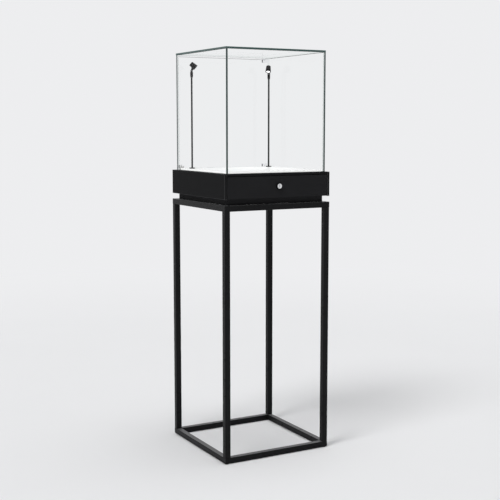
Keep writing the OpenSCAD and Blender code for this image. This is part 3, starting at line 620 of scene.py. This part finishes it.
def grub_screw(place):
    """A flat screw end with a six-sided socket, which looks along the place's own Z."""
    bm = turned([(0, -SCREW_SUNK), (SCREW_R, -SCREW_SUNK), (SCREW_R, SCREW_PROUD - SCREW_EDGE),
                 (SCREW_R - SCREW_EDGE, SCREW_PROUD), (0, SCREW_PROUD)], steps=24)
    crown = [f for f in bm.faces if all(abs(v.co.z - SCREW_PROUD) < WELD for v in f.verts)]
    rim = {v for f in crown for v in f.verts if v.co.xy.length > WELD}
    bmesh.ops.delete(bm, geom=crown, context="FACES")
    rim_edges = [e for e in bm.edges if e.is_boundary and all(v in rim for v in e.verts)]
    hexagon = bmesh.ops.create_circle(bm, segments=6, radius=SOCKET_R, cap_ends=False)["verts"]
    bmesh.ops.translate(bm, vec=(0, 0, SCREW_PROUD), verts=hexagon)
    mouth = [e for e in bm.edges if all(v in hexagon for v in e.verts)]
    bmesh.ops.bridge_loops(bm, edges=rim_edges + mouth)
    walls = bmesh.ops.extrude_edge_only(bm, edges=mouth)["geom"]
    deep = [v for v in walls if isinstance(v, bmesh.types.BMVert)]
    bmesh.ops.translate(bm, vec=(0, 0, -SOCKET_DEPTH), verts=deep)
    bmesh.ops.holes_fill(bm, edges=[e for e in bm.edges if e.is_boundary], sides=0)
    bmesh.ops.recalc_face_normals(bm, faces=bm.faces)
    bmesh.ops.transform(bm, matrix=place, verts=bm.verts)
    return bm


for clamp in ("pivot_clamp_upper", "pivot_clamp_lower"):
    low, high = span(clamp)
    middle = (low + high) / 2
    inward = Matrix.Translation((middle.x - SCREW_ASIDE, low.y, middle.z)) @ Z_TO_FRONT
    coated(clamp + "_eased", [eased(copy_of(clamp), 0.5), grub_screw(inward)],
           "chrome", "door", clamp)


# ------------------------------------------------------------------ lamps

FOOT_R = 10.5
STEM_R, STEM_BORE = 3.0, 2.0

# Along the head: its rear, its front, the end of its bore and the rim of the bezel. All are
# measured from the point of the axis that is over the tilt pin.
REAR, FRONT, BORE_END, RIM = -18.0, 2.5, -4.4, 5.0
LIP, LENS_BACK = 4.2, 1.2         # the bezel's lip, and the back of the lens
HEAD_R, HEAD_BACK_R, BORE_R = 10.0, 8.0, 7.6
LIP_R, LENS_R = 6.7, 7.5
DOME_R, DOME_RISE = 6.6, 0.30     # of the lens
SEAM = 0.02                       # between head and bezel
PIN_UP = 17.1                     # from the tilt pin to the axis of the head
LUG_R, LUG_HALF, LUG_BACK, HOLE_R = 3.4, 2.2, 8.0, 1.35

# side, its sign, degrees from the middle of the deck, and degrees below level
LAMPS = (("left", -1, 14, 40), ("right", 1, 11, 66))


def ring_profile(inner, outer, low, high, edge):
    """A closed profile of a ring whose outer corners are chamfered."""
    return [(inner, low), (outer - edge, low), (outer, low + edge), (outer, high - edge),
            (outer - edge, high), (inner, high)]


def lamp_light(side, along):
    """The light that a lamp throws on the deck, from just before its rim."""
    light = bpy.data.lights.new("lamp_light_" + side, "SPOT")
    light.energy, light.color = 0.8, (1.0, 0.985, 0.96)
    light.spot_size, light.spot_blend, light.shadow_soft_size = math.radians(84), 1.0, 0.006
    glow = bpy.data.objects.new("lamp_light_" + side, light)
    before_rim = Matrix.Translation((along @ Vector((0, 0, RIM + 1.5))) * MM)
    glow.matrix_world = before_rim \
        @ (along.to_3x3() @ Matrix.Rotation(math.pi, 3, "X")).to_4x4()
    bpy.context.scene.collection.objects.link(glow)
    glow.parent = frame["bodies"]["spot_" + side]


low, high = span("lamp_feet")
lamp_at = Vector((high.x - FOOT_R, (low.y + high.y) / 2, 0))
foot = [(STEM_R, low.z), (FOOT_R, low.z), (FOOT_R, high.z - 1.2), (FOOT_R - 0.3, high.z - 0.6),
        (FOOT_R - 1.0, high.z - 0.15), (FOOT_R - 1.8, high.z), (STEM_R, high.z)]
piece("lamp_feet_turned", [
    turned(foot, Matrix.Translation((s * lamp_at.x, lamp_at.y, 0)), ring=True) for s in (-1, 1)],
    [FOOT_BLACK], "cabinet", ["lamp_feet"])

cup = [(0, REAR), (HEAD_BACK_R - 0.3, REAR), (HEAD_BACK_R, REAR + 0.3),
       (HEAD_R - 0.02, FRONT - 0.25), (HEAD_R - 0.25, FRONT), (BORE_R, FRONT),
       (BORE_R, BORE_END), (0, BORE_END)]
bezel = [(BORE_R, FRONT + SEAM), (HEAD_R - 0.2, FRONT + SEAM), (HEAD_R, FRONT + 0.25),
         (HEAD_R, RIM - 0.6), (HEAD_R - 0.2, RIM - 0.2), (HEAD_R - 0.6, RIM),
         (LIP_R + 1.0, RIM), (LIP_R, LIP + 0.15), (LIP_R, LIP), (BORE_R, LIP)]
dome = [(0, LENS_BACK), (LENS_R, LENS_BACK), (LENS_R, LIP), (DOME_R, LIP)]
dome += [(r, LIP + DOME_RISE * (1 - (r / DOME_R) ** 2)) for r in (5.6, 4.2, 2.8, 1.4, 0)]

for side, s, swing, tilt in LAMPS:
    low, high = span("lamp_stem_" + side)
    upright = Matrix.Translation((s * lamp_at.x, lamp_at.y, 0))
    stem = ring_profile(STEM_BORE, STEM_R, low.z, high.z, 0.2)
    coated("lamp_stem_tube_" + side, [turned(stem, upright, steps=40, ring=True)],
           "lamp_black", "cabinet", "lamp_stem_" + side)

    coated("lamp_sleeve_eased_" + side, [eased(copy_of("lamp_sleeve_" + side), 0.3, segments=2)],
           "lamp_black", "swivel_" + side, "lamp_sleeve_" + side)
    coated("lamp_pin_eased_" + side, [eased(copy_of("lamp_pin_" + side), 0.2, segments=2)],
           "steel", "swivel_" + side, "lamp_pin_" + side)

    # the head's own frame: the tilt pin at the origin, the lamp looking along +X
    low, high = span("lamp_pin_" + side)
    aim = math.atan2(-lamp_at.y, -s * lamp_at.x) + math.radians(swing)
    head = (Matrix.Translation((low + high) / 2) @ Matrix.Rotation(aim, 4, "Z")
            @ Matrix.Rotation(math.radians(tilt), 4, "Y"))
    along = head @ Matrix.Translation((0, 0, PIN_UP)) @ Matrix.Rotation(math.pi / 2, 4, "Y")

    eye = turned(ring_profile(HOLE_R, LUG_R, -LUG_HALF, LUG_HALF, 0.25), Z_TO_FRONT, steps=40,
                 ring=True)
    web = block(Vector((-LUG_R, -LUG_HALF, HOLE_R + 0.3)),
                Vector((FRONT, LUG_HALF, PIN_UP - HEAD_R + 2)))
    bmesh.ops.translate(web, vec=(LUG_R - LUG_BACK, 0, 0),
                        verts=[v for v in web.verts if v.co.x < 0 and v.co.z > LUG_R])
    eased(web, 0.25, segments=2)
    for part in (eye, web):
        bmesh.ops.transform(part, matrix=head, verts=part.verts)
    coated("lamp_head_turned_" + side, [turned(cup, along), eye, web], "lamp_black",
           "spot_" + side, "lamp_head_" + side)
    coated("lamp_bezel_turned_" + side, [turned(bezel, along, ring=True)], "lamp_black",
           "spot_" + side, "lamp_bezel_" + side)

    lens_finish = lit_lens("lit_lens_" + side, along @ Vector((0, 0, LIP)) * MM,
                           along.to_3x3() @ Z)
    piece("lamp_lens_domed_" + side, [turned(dome, along)], [lens_finish], "spot_" + side,
          ["lamp_lens_" + side], sharp=50)
    dressed("lamp_led_" + side, "light_board")
    lamp_light(side, along)


# ------------------------------------------------------------------ lock

LOCK_R, LOCK_BORE, LOCK_PROUD, BARREL_R = 9.5, 6.05, 8.0, 8.0
FACE_RIM_R, FACE_RIM_END = LOCK_R - 1.2, 0.6      # the collar is black outside and behind these
THREAD_FROM, THREAD_STEP, THREAD_DEPTH, THREAD_MARGIN = LOCK_PROUD + 6.5, 1.5, 0.55, 0.5

low, high = span("lock_body")
lock_axis = Matrix.Translation(((low.x + high.x) / 2, low.y, (low.z + high.z) / 2)) \
    @ Matrix.Rotation(-math.pi / 2, 4, "X")
lock_end = high.y - low.y
collar = [(LOCK_BORE, 0.5), (LOCK_BORE + 0.4, 0.25), (LOCK_R - 2.2, 0.25), (LOCK_R - 1.9, 0),
          (LOCK_R - 1.2, 0), (LOCK_R - 0.4, 0.3), (LOCK_R, 0.9), (LOCK_R, LOCK_PROUD - 0.3),
          (LOCK_R - 0.3, LOCK_PROUD), (BARREL_R, LOCK_PROUD)]
turn = THREAD_FROM
while turn + THREAD_STEP < lock_end - THREAD_MARGIN:
    collar += [(BARREL_R - THREAD_DEPTH, turn), (BARREL_R, turn + THREAD_STEP / 2)]
    turn += THREAD_STEP
collar += [(BARREL_R - 0.4, lock_end), (LOCK_BORE, lock_end)]
barrel = turned(collar, lock_axis, ring=True)
to_lock = lock_axis.inverted()
for face in barrel.faces:
    near = to_lock @ face.calc_center_median()
    face.material_index = int(near.z > FACE_RIM_END or near.xy.length > FACE_RIM_R)
piece("lock_body_turned", [barrel], [LOCK_CHROME, LOCK_BLACK], "drawer", ["lock_body"])
piece("lock_plug_eased", [eased(copy_of("lock_plug"), 0.2, segments=2)], [LOCK_CHROME], "lock",
      ["lock_plug"])


# ------------------------------------------------------------------ carried-over nodes

for node, slot in (("lamp_leads", "black_plastic"), ("case_screws", "steel"),
                   ("drawer_screws", "steel"), ("pivot_washer", "white_plastic")):
    dressed(node, slot)


# ------------------------------------------------------------------ room

FLOOR_HALF = 60                   # metres
FLOOR_TONES = (0.786, 0.789, 0.799, 1), (0.806, 0.809, 0.818, 1)
FADE_FROM, FADE_TO = 1.6, 4.5     # metres from the case, over which the floor's tone fades

# name, the way that the light goes, its spread in degrees, its strength
SOFT_LAMPS = (
    ("key_low", (0.95, 0.33, -1.0), 22, 0.90),
    ("key_high", (0.55, 0.26, -1.0), 20, 0.64),
    ("overhead", (0.02, 0.03, -1.0), 40, 0.92),
    ("fill", (-0.34, 0.06, -1.0), 46, 0.56))

CAMERA_AT = (-1.74184, -3.15812, 1.14141)
LOOKS_DOWN, LOOKS_RIGHT = 6.97, 28.92     # degrees below level, and to the right of +Y
LENS_LENGTH, SENSOR_WIDTH, FARTHEST = 73.09, 36, 300


def room_light():
    """The world: an even fill, while camera, gloss and glass see the pale backdrop."""
    world = bpy.data.worlds.new("room")
    bpy.context.scene.world = world
    tree = Finish(world)
    camera, gloss, glass = [tree.node("LightPath", out=f"Is {ray} Ray")
                            for ray in ("Camera", "Glossy", "Transmission")]
    share = camera.maths("MAXIMUM", gloss.maths("MAXIMUM", glass))
    colour = tree.blend(share, AMBIENT, BACKDROP)
    tree.done(tree.node("Background", values={"Color": colour, "Strength": 1.0}), "OutputWorld")


def floor():
    """A wide pale floor that runs into the backdrop's tone away from the case."""
    bm = bmesh.new()
    bmesh.ops.create_grid(bm, x_segments=2, y_segments=2, size=FLOOR_HALF)
    mesh = bpy.data.meshes.new("floor")
    bm.to_mesh(mesh)
    bm.free()
    made = bpy.data.objects.new("floor", mesh)
    bpy.context.scene.collection.objects.link(made)
    tree = finish("pale_floor")
    place = tree.place()
    paint = principled(tree, Base_Color=tree.blend(tree.noise(0.6, 2, place), *FLOOR_TONES),
                       Roughness=0.9, Specular_IOR_Level=0.0)
    far = tree.node("Emission", values={"Color": BACKDROP, "Strength": 1.0})
    fade = tree.range(tree.length(place), FADE_FROM, FADE_TO)
    mesh.materials.append(tree.done(tree.mix(fade, paint, far)))


def soft_lamp(name, towards, spread, strength):
    """An even soft light from one side; towards is the way that its light goes."""
    light = bpy.data.lights.new(name, "SUN")
    light.angle, light.energy = math.radians(spread), strength
    made = bpy.data.objects.new(name, light)
    made.rotation_euler = Vector(towards).to_track_quat("-Z", "Y").to_euler()
    bpy.context.scene.collection.objects.link(made)
    made.visible_glossy = False


room_light()
floor()
for entry in SOFT_LAMPS:
    soft_lamp(*entry)

lens = bpy.data.cameras.new("camera")
lens.lens, lens.sensor_width, lens.clip_end = LENS_LENGTH, SENSOR_WIDTH, FARTHEST
camera = bpy.data.objects.new("camera", lens)
camera.location = CAMERA_AT
camera.rotation_euler = Euler((math.radians(90 - LOOKS_DOWN), 0, math.radians(-LOOKS_RIGHT)))
bpy.context.scene.collection.objects.link(camera)
bpy.context.scene.camera = camera
bpy.context.scene.view_settings.view_transform = "Standard"
